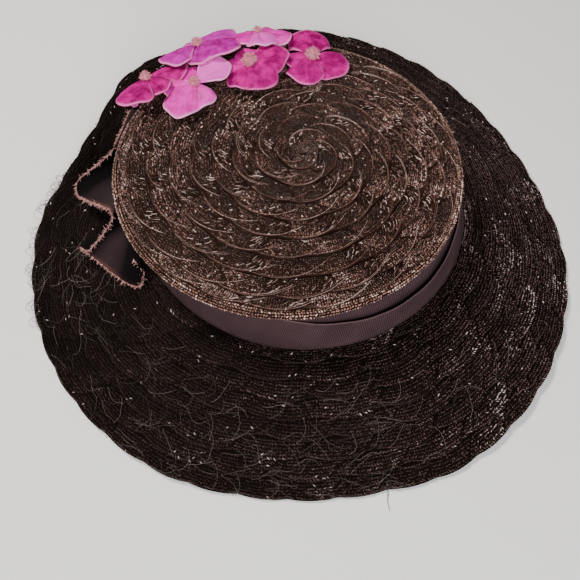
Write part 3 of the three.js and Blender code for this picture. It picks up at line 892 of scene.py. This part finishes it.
def petal_grid(petal, number, draw):
    """A petal's middle surface, with the share of the way out and across."""
    direction, reach, half, rise, droop, _ = petal
    t = np.linspace(0.02, 1, PETAL_STEPS)[:, None]
    w = np.linspace(-1, 1, PETAL_STEPS)[None, :]
    angle = np.radians(direction + half * w)
    radius = reach * t * (1 - PETAL_TAPER * np.abs(w) ** 1.9)
    radius = radius * (1 + PETAL_LOBES * np.sin(7 * w + number * 2.1) * t**3)
    phase = draw.uniform(0, TURN)
    broad, fine = PETAL_RIPPLES
    ripple = (broad * np.sin(4.2 * w + phase) + fine * np.sin(9 * w + 2 * phase)) * t**3
    crease = CREASE_DEPTH * np.exp(-(w / CREASE_WIDTH) ** 2) * np.sin(np.pi * t) ** 1.5
    height = PETAL_BASE + PETAL_STACK * number + rise * t**1.8 - droop * w**2 * t**1.5 + PETAL_TWIST * w * t
    height = height + ripple - crease + PETAL_ARCH * np.sin(np.pi * t**0.8) - PETAL_LIP * smooth(0.8, 1, t)
    return np.stack([radius * np.cos(angle), radius * np.sin(angle), height], axis=-1), t, w


def build_blossom(number, velvet, wire, plush):
    middle, lean_to, lean, slot, petals = BLOSSOMS[number]
    towards = math.radians(lean_to)
    axis = Vector((-math.sin(towards), math.cos(towards), 0))
    turn, place = np.array(Matrix.Rotation(math.radians(lean), 3, axis)), np.array(middle, float)
    draw = np.random.default_rng(BLOSSOM_SEED + number)
    batch = Batch()
    for index, petal in enumerate(petals):
        _, reach, half, _, _, paleness = petal
        grid, t, w = petal_grid(petal, index, draw)
        rim = np.maximum(smooth(0.93, 1, t), smooth(0.9, 1, np.abs(w)) * smooth(0.35, 0.6, t))
        add_sheet(batch, grid @ turn.T + place, PETAL_THICK, pale=rim, tone=paleness,
                  fan=w * half / 10 + 7 * index, run=t * reach / 10)
    piece = make_piece(f"blossom_{number}_petals", batch, velvet, [f"blossom_{number}"])
    build_knob(number, turn, place, plush, draw)
    build_stem(number, turn, place, wire)


# A knob: its core's grid and lumps, then the ranges and radii of its fibres
KNOB_ROWS = 9
KNOB_COLUMNS = 16
KNOB_LUMPS = 0.09
KNOB_FIBRES = 420
FIBRE_REACH = (0.5, 1.15)
FIBRE_UPWARD = 0.35
FIBRE_SWAY = 0.35
FIBRE_RADII = (0.14, 0.14, 0.12, 0.05)


def build_knob(number, turn, place, plush, draw):
    """A chenille knob: a lumpy core under many short fibres."""
    radius = KNOBS[number]
    middle = radius * 0.8 + 0.9
    batch = Batch()
    polar = np.linspace(0.02, math.pi - 0.02, KNOB_ROWS)[:, None]
    azimuth = np.linspace(0, TURN, KNOB_COLUMNS, endpoint=False)[None, :]
    wide = radius * 0.86 * (1 + KNOB_LUMPS * np.sin(5 * azimuth + 3 * polar) * np.sin(polar)) * np.sin(polar)
    high = radius * 0.9 * np.cos(polar) + middle + 0 * azimuth
    core = np.stack([wide * np.cos(azimuth), wide * np.sin(azimuth), high], axis=-1)
    faces = [grid_faces(KNOB_ROWS, KNOB_COLUMNS, close_columns=True), end_faces(KNOB_ROWS, KNOB_COLUMNS)]
    batch.add(core @ turn.T + place, faces, tone=0.4)
    direction = unit(draw.normal(0, 1, (KNOB_FIBRES, 3)) + [0, 0, FIBRE_UPWARD])
    start = direction * radius * 0.75 + [0, 0, middle]
    reach = draw.uniform(*FIBRE_REACH, (KNOB_FIBRES, 1, 1)) * radius * 0.45
    run = shares(len(FIBRE_RADII))[..., None]
    sway = draw.normal(0, FIBRE_SWAY, (KNOB_FIBRES, 1, 3)) * run**2
    paths = (start[:, None] + direction[:, None] * reach * run * 1.4 + sway) @ turn.T + place
    add_tubes(batch, paths, (0.3, 0.2, 0.9), FIBRE_RADII, tone=draw.random((KNOB_FIBRES, 1)))
    make_piece(f"stamen_{number}_plush", batch, plush, [f"stamen_{number}"])


# A stem: its radius, how far inside the tip's edge it stands, and how far both ends lead its curve
STEM_RADIUS = 0.6
STEM_INSET = 4
STEM_TOP_RUN = 2.5
STEM_FOOT_RUN = 1.2
STEM_POINTS = 9


def build_stem(number, turn, place, wire):
    """A covered wire from under the petals down to the crown."""
    top = place - turn[:, 2] * 0.3
    offset = place[:2] - CROWN_LEAN
    radius = min(np.hypot(*offset), TIP_RADIUS - STEM_INSET)
    azimuth = math.atan2(offset[1], offset[0])
    seat = on_axis(azimuth, radius, tip_height(radius) + 0.4, 1)
    below, above = top - turn[:, 2] * STEM_TOP_RUN, seat + [0, 0, STEM_FOOT_RUN]
    t = np.linspace(0, 1, STEM_POINTS)[:, None]
    path = (1 - t) ** 3 * top + 3 * (1 - t) ** 2 * t * below + 3 * (1 - t) * t**2 * above + t**3 * seat
    batch = Batch()
    add_tubes(batch, path[None], (1, 0.2, 0.1), STEM_RADIUS, sides=8, tone=0.3)
    make_piece(f"blossom_{number}_stem", batch, wire)


# Net threads by zone: count, from azimuth, to azimuth, from share, to share of the brim's width
NET_ZONES = (
    (260, 185, 290, 0.3, 1),
    (30, 140, 180, 0.2, 0.9),
    (60, 280, 350, 0.4, 1),
    (15, 20, 140, 0.6, 1),
)
NET_POINTS = 14
NET_STEP = 1.1
NET_CURL = 0.13
NET_RISE = 0.8
NET_HEADING = 0.7
NET_RADIUS = 0.055
NET_LIFTS = (0.5, 1)
NET_WAVE = 1.3
NET_KEEPS = 0.8
NET_STRAYS = 0.6
NET_SHARES = (0.08, 1)
NET_TONES = (0.05, 1)
NET_TONE_POWER = 1.6
NET_SEED = 47

# Fuzz and loops at the rim: how many, points in each, and ranges of their reach; loops' azimuths and widths
FUZZ_COUNT = 900
FUZZ_REACH = (0.5, 2.6)
FUZZ_START = 0.985
FUZZ_SLIDE = 0.008
FUZZ_TONES = (0.1, 0.6)
FUZZ_POINTS = 4
FUZZ_RADIUS = 0.09
LOOP_COUNT = 46
LOOP_REACH = (1.5, 7)
LOOP_AZIMUTHS = (166, 206)
LOOP_WIDTH = (0.01, 0.026)
LOOP_UNEVEN = 0.002
LOOP_START = 0.98
LOOP_FULLNESS = 0.7
LOOP_TONES = (0, 0.4)
LOOP_POINTS = 13
LOOP_RADIUS = 0.14

# The loose thread at the front, in the hat's own place
LOOSE_THREAD = np.array([(44, -153, 3.2), (44.6, -158, 1.2), (44.2, -162.5, 0.5), (45, -167, 0.3)])
LOOSE_POINTS = 12
LOOSE_RADIUS = 0.22


def wander(draw, azimuth, share, heading):
    """Curly threads that lie over the brim; heading is the angle from the row's direction."""
    count = len(azimuth)
    places, ups = [], []
    turn = draw.normal(0, NET_CURL, count)
    lift = draw.uniform(*NET_LIFTS, count)
    for number in range(NET_POINTS):
        rise = 1 + lift * NET_RISE * abs(math.sin(number * NET_WAVE))
        place, _, _, up = lay(brim_surface, azimuth, share, rise)
        places.append(place)
        ups.append(up)
        turn = turn * NET_KEEPS + draw.normal(0, NET_CURL * NET_STRAYS, count)
        heading = heading + turn
        width = brim_width(azimuth)
        azimuth = azimuth + NET_STEP * np.cos(heading) / (BRIM_INNER + width * share)
        share = np.clip(share + NET_STEP * np.sin(heading) / width, *NET_SHARES)
    return np.stack(places, 1), np.stack(ups, 1)


def add_fuzz(batch, draw):
    azimuth = draw.uniform(0, TURN, FUZZ_COUNT)[:, None]
    run = shares(FUZZ_POINTS)
    reach = draw.uniform(*FUZZ_REACH, (FUZZ_COUNT, 1))
    slide = draw.normal(0, FUZZ_SLIDE, (FUZZ_COUNT, 1)) * run
    share = FUZZ_START + (reach / brim_width(azimuth)) * run
    lift = 0.3 + 0.7 * run * draw.random((FUZZ_COUNT, 1))
    place, _, _, up = lay(brim_surface, azimuth + slide, share, lift)
    add_tubes(batch, place, up, FUZZ_RADIUS, tone=draw.uniform(*FUZZ_TONES, (FUZZ_COUNT, 1)))


def add_loops(batch, draw):
    middle = np.radians(draw.uniform(*LOOP_AZIMUTHS, LOOP_COUNT))[:, None]
    turn = np.pi * shares(LOOP_POINTS)
    wide = draw.uniform(*LOOP_WIDTH, (LOOP_COUNT, 1))
    reach = draw.uniform(*LOOP_REACH, (LOOP_COUNT, 1))
    uneven = draw.normal(0, LOOP_UNEVEN, (LOOP_COUNT, LOOP_POINTS))
    share = LOOP_START + reach / brim_width(middle) * np.sin(turn) ** LOOP_FULLNESS
    lift = 0.6 + 1.2 * np.sin(turn) * draw.random((LOOP_COUNT, 1))
    place, _, _, up = lay(brim_surface, middle + wide * np.cos(turn) + uneven, share, lift)
    add_tubes(batch, place, up, LOOP_RADIUS, tone=draw.uniform(*LOOP_TONES, (LOOP_COUNT, 1)))


def build_threads(material):
    """The last of a hair net: curly threads over the brim, loops past its left edge, fuzz round the rim."""
    draw = np.random.default_rng(NET_SEED)
    threads = Batch()
    for count, low, high, near, far in NET_ZONES:
        azimuth = np.radians(draw.uniform(low, high, count))
        share = draw.uniform(near, far, count)
        paths, ups = wander(draw, azimuth, share, draw.uniform(-NET_HEADING, NET_HEADING, count))
        tone = draw.uniform(*NET_TONES, (count, 1)) ** NET_TONE_POWER
        add_tubes(threads, paths, ups, NET_RADIUS, tone=tone)
    make_piece("net_threads", threads, material)
    fuzz = Batch()
    add_fuzz(fuzz, draw)
    add_loops(fuzz, draw)
    add_tubes(fuzz, smooth_rows(LOOSE_THREAD, LOOSE_POINTS)[None], (0, 0, 1), LOOSE_RADIUS, tone=0.25)
    make_piece("rim_fuzz", fuzz, material)


class Shader:
    """A material's nodes, and short ways to add to them. Sources are sockets or plain values."""

    def __init__(self, name):
        self.material = bpy.data.materials.new(name)
        self.material.use_nodes = True
        self.nodes = self.material.node_tree.nodes
        self.links = self.material.node_tree.links
        self.surface = self.nodes["Principled BSDF"].inputs

    def join(self, source, socket):
        if isinstance(source, bpy.types.NodeSocket):
            self.links.new(source, socket)
        else:
            socket.default_value = source

    def node(self, kind, output, sources, **settings):
        """An output of a new node, which has its settings before its sources."""
        node = self.nodes.new("ShaderNode" + kind)
        for name, value in settings.items():
            setattr(node, name, value)
        for name, source in sources.items():
            self.join(source, node.inputs[name])
        return node.outputs[output]

    def attribute(self, name, output="Fac"):
        return self.node("Attribute", output, {}, attribute_name=name)

    def noise(self, scale, detail=3, place=None):
        if place is None:
            place = self.node("TexCoord", "Object", {})
        return self.node("TexNoise", "Fac", {"Scale": scale, "Detail": detail, "Vector": place})

    def maths(self, operation, *sources):
        return self.node("Math", 0, dict(enumerate(sources)), operation=operation)

    def ramp(self, source, stops):
        """Colours by place. A single number stands for a grey."""
        node = self.nodes.new("ShaderNodeValToRGB")
        elements = node.color_ramp.elements
        while len(elements) < len(stops):
            elements.new(0.5)
        for element, (place, colour) in zip(elements, stops):
            element.position = place
            element.color = (*np.broadcast_to(colour, 3), 1)
        self.join(source, node.inputs["Fac"])
        return node.outputs["Color"]

    def mix(self, mode, factor, first, second):
        sources = {"Factor": factor, "A": first, "B": second}
        return self.node("Mix", "Result", sources, data_type="RGBA", blend_type=mode)

    def bump(self, height, strength, distance):
        sources = {"Height": height, "Strength": strength, "Distance": distance}
        self.join(self.node("Bump", "Normal", sources), self.surface["Normal"])

    def finished(self, colour, settings):
        """The material with its base colour and its other surface settings."""
        for name, source in {"Base Color": colour, **settings}.items():
            self.join(source, self.surface[name])
        return self.material


TONE_MOTTLE = 0.3
SHADE_DEPTH_SCALE = 0.55


def straw_material(name, stops, recess_shade, roughness, gloss, tint):
    """Glossy straw: each stitch has its own tone, and what lies deep in the braid is darkened with painted
    shade.
    """
    shader = Shader(name)
    mottled = shader.maths("MULTIPLY_ADD", shader.noise(45), TONE_MOTTLE, shader.attribute("tone"))
    colour = shader.ramp(shader.maths("SUBTRACT", mottled, TONE_MOTTLE / 2), stops)
    # Painted shade: the lower a point lies in the braid, the darker its colour
    depth = shader.maths("MULTIPLY", shader.attribute("depth"), SHADE_DEPTH_SCALE)
    final = shader.mix("MULTIPLY", 1, colour, shader.ramp(depth, [(0, recess_shade), (1, 1)]))
    fibre = shader.noise(1400, 2)
    shader.bump(fibre, 0.35, 0.0004)
    rough = shader.ramp(fibre, [(0, roughness * 0.75), (1, roughness * 1.3)])
    return shader.finished(final, {
        "Roughness": rough, "Specular IOR Level": gloss, "Specular Tint": (*tint, 1)})


# The ribbon's ribs in millimetres, its two ground colours, its selvedge and its frayed edge
RIB_PERIOD = 1.1
RIBBON_DARK = (0.05, 0.0275, 0.031)
RIBBON_LIGHT = (0.075, 0.043, 0.048)
# Painted light on the crest of each rib and painted shade in its groove
RIB_PAINTED_LIGHT = (1.35, 1.33, 1.35)
RIB_PAINTED_SHADE = 0.6
SELVEDGE = (0.14, 0.082, 0.08, 1)
FRAY = (0.24, 0.1, 0.085, 1)


def ribbon_material():
    """Dull grosgrain: fine ribs with painted light and shade, a paler selvedge and a coral frayed edge."""
    shader = Shader("grosgrain")
    base = shader.ramp(shader.noise(60), [(0.25, RIBBON_DARK), (0.75, RIBBON_LIGHT)])
    ribs = shader.maths("SINE", shader.maths("MULTIPLY", shader.attribute("rib"), TURN / RIB_PERIOD))
    rib_lit_and_shaded = shader.mix("MULTIPLY", 0.8, base, shader.ramp(ribs, [(0, RIB_PAINTED_SHADE), (1, RIB_PAINTED_LIGHT)]))
    edge = shader.ramp(shader.attribute("selvedge"), [(0.94, 0), (0.99, 1)])
    lined = shader.mix("MIX", edge, rib_lit_and_shaded, SELVEDGE)
    frayed = shader.mix("MIX", shader.attribute("fray"), lined, FRAY)
    shaded = shader.mix("MULTIPLY", 1, frayed, shader.attribute("shade", "Color"))
    shader.bump(ribs, 0.5, 0.0003)
    return shader.finished(shaded, {"Roughness": 0.82, "Specular IOR Level": 0.06})


def thread_material(name, low, high, roughness, sheen):
    """Thread whose strands differ in tone."""
    shader = Shader(name)
    colour = shader.ramp(shader.attribute("tone"), [(0, low), (1, high)])
    grain = shader.ramp(shader.noise(900, 2), [(0.3, 0.75), (0.7, 1)])
    final = shader.mix("MULTIPLY", 1, colour, grain)
    return shader.finished(final, {"Roughness": roughness, "Sheen Weight": sheen})


VELVET_SHEEN = (1, 0.35, 0.75, 1)


def velvet_material(name, pile_shade, lit, pale, edge):
    """Velvet: a pile that lies this way and that, shown as painted light and shade mottled over it, streaks
    along each petal, and a pale cut edge.
    """
    shader = Shader(name)
    pile_light_and_shade = shader.ramp(shader.noise(160, 2.5), [(0.38, pile_shade), (0.66, lit)])
    place = shader.node("CombineXYZ", "Vector", {"X": shader.attribute("fan"), "Y": shader.attribute("run")})
    streaks = shader.ramp(shader.noise(2.2, 3, place), [(0.48, 0), (0.8, 0.5)])
    toned = shader.mix("MIX", shader.attribute("tone"), pile_light_and_shade, (*pale, 1))
    streaked = shader.mix("MIX", streaks, toned, (*pale, 1))
    final = shader.mix("MIX", shader.attribute("pale"), streaked, (*edge, 1))
    shader.bump(shader.noise(1500, 2), 0.3, 0.0004)
    return shader.finished(final, {
        "Roughness": 0.85, "Specular IOR Level": 0.05, "Sheen Weight": 0.03, "Sheen Roughness": 0.35,
        "Sheen Tint": VELVET_SHEEN})


def make_camera():
    back = Vector((0, -math.cos(VIEW_ELEVATION), math.sin(VIEW_ELEVATION)))
    level = Vector((1, 0, 0))
    rise = back.cross(level)
    right = level * math.cos(VIEW_ROLL) + rise * math.sin(VIEW_ROLL)
    up = rise * math.cos(VIEW_ROLL) - level * math.sin(VIEW_ROLL)
    middle = Vector((CROWN_LEAN[0] + SHIFT[0], CROWN_LEAN[1] + SHIFT[1], TIP_EDGE_HEIGHT))
    place = (middle + right * VIEW_ACROSS + up * VIEW_UP + back * VIEW_DISTANCE) * MM
    data = bpy.data.cameras.new("camera")
    data.lens = LENS
    data.sensor_width = SENSOR
    camera = bpy.data.objects.new("camera", data)
    camera.matrix_world = Matrix.Translation(place) @ Matrix((right, up, back)).transposed().to_4x4()
    link(camera)
    bpy.context.scene.camera = camera


def make_light(name, place, size, power, colour):
    data = bpy.data.lights.new(name, "AREA")
    data.shape = "DISK"
    data.size = size
    data.energy = power
    data.color = colour
    light = bpy.data.objects.new(name, data)
    light.location = place
    light.rotation_mode = "QUATERNION"
    light.rotation_quaternion = (LIT_PLACE - Vector(place)).to_track_quat("-Z", "Y")
    link(light)


def make_studio():
    bpy.ops.mesh.primitive_plane_add(size=FLOOR_SIZE, location=(0, 0, 0))
    floor = bpy.context.active_object
    floor.name = "floor"
    floor.data.materials.append(Shader("floor_paper").finished((*FLOOR_COLOUR, 1), {"Roughness": 0.9}))
    for name, row in LIGHTS.items():
        make_light(name, *row)
    world = bpy.data.worlds.new("studio")
    world.use_nodes = True
    background = world.node_tree.nodes["Background"]
    background.inputs["Color"].default_value = SKY
    background.inputs["Strength"].default_value = SKY_STRENGTH
    bpy.context.scene.world = world


# Straw: colour by tone, how dark the painted shade in its recesses is, roughness, gloss and the tint of the
# gloss
STRAWS = {
    "crown_straw": (
        [(0, (0.007, 0.0012, 0.0007)), (0.3, (0.056, 0.0235, 0.017)), (0.62, (0.27, 0.14, 0.11)),
         (1, (0.9, 0.7, 0.64))], 0.2, 0.22, 0.85, (1, 0.86, 0.78)),
    # Lighter and more orange than the crown's straw: a painted highlight on the rolled edge
    "crown_edge": (
        [(0, (0.012, 0.0025, 0.0015)), (0.3, (0.075, 0.033, 0.024)), (0.62, (0.33, 0.175, 0.135)),
         (1, (0.95, 0.7, 0.6))], 0.25, 0.26, 0.7, (1, 0.82, 0.7)),
    # The braid's shell: near-black, painted shade for the gaps between the stitches
    "crown_braid": (
        [(0, (0.009, 0.0018, 0.001)), (1, (0.085, 0.036, 0.024))], 0.2, 0.7, 0.12, (1, 0.75, 0.6)),
    "brim_straw": (
        [(0, (0.003, 0.0018, 0.0016)), (0.3, (0.05, 0.029, 0.0265)), (0.66, (0.13, 0.078, 0.071)),
         (1, (0.6, 0.5, 0.44))], 0.3, 0.4, 0.25, (1, 0.78, 0.74)),
    # The braid's shell: near-black, painted shade for the gaps between the stitches
    "brim_braid": (
        [(0, (0.002, 0.0012, 0.0009)), (1, (0.03, 0.017, 0.012))], 0.2, 0.75, 0.08, (1, 0.7, 0.58)),
}

# Thread: its darkest and lightest colours, roughness and sheen
THREADS = {
    "frayed_edge": ((0.27, 0.115, 0.1), (0.66, 0.36, 0.32), 0.85, 0),
    "stem_wire": ((0.03, 0.03, 0.02), (0.09, 0.1, 0.06), 0.6, 0),
    "stamen_plush": ((0.75, 0.16, 0.25), (1, 0.52, 0.6), 0.9, 0.1),
    "net_thread": ((0.02, 0.014, 0.012), (0.4, 0.31, 0.26), 0.5, 0),
}

# Velvet: painted shade deep in the pile, painted light where lit, where it is pale, and its cut edge
VELVETS = {
    "velvet_magenta": ((0.2, 0, 0.07), (0.52, 0, 0.21), (0.68, 0.01, 0.32), (0.85, 0.16, 0.46)),
    "velvet_violet": ((0.24, 0, 0.12), (0.52, 0, 0.34), (0.7, 0.05, 0.58), (0.85, 0.24, 0.52)),
    "velvet_pale": ((0.5, 0, 0.22), (0.78, 0, 0.42), (0.86, 0.14, 0.64), (0.92, 0.38, 0.66)),
}

make_camera()
make_studio()
straws = {name: straw_material(name, *row) for name, row in STRAWS.items()}
threads = {name: thread_material(name, *row) for name, row in THREADS.items()}
velvets = {name: velvet_material(name, *row) for name, row in VELVETS.items()}
grosgrain = ribbon_material()
build_crown(straws)
build_brim(straws)
build_band(grosgrain)
build_bow(grosgrain, threads["frayed_edge"])
for number, blossom in BLOSSOMS.items():
    build_blossom(number, velvets[blossom[3]], threads["stem_wire"], threads["stamen_plush"])
build_threads(threads["net_thread"])
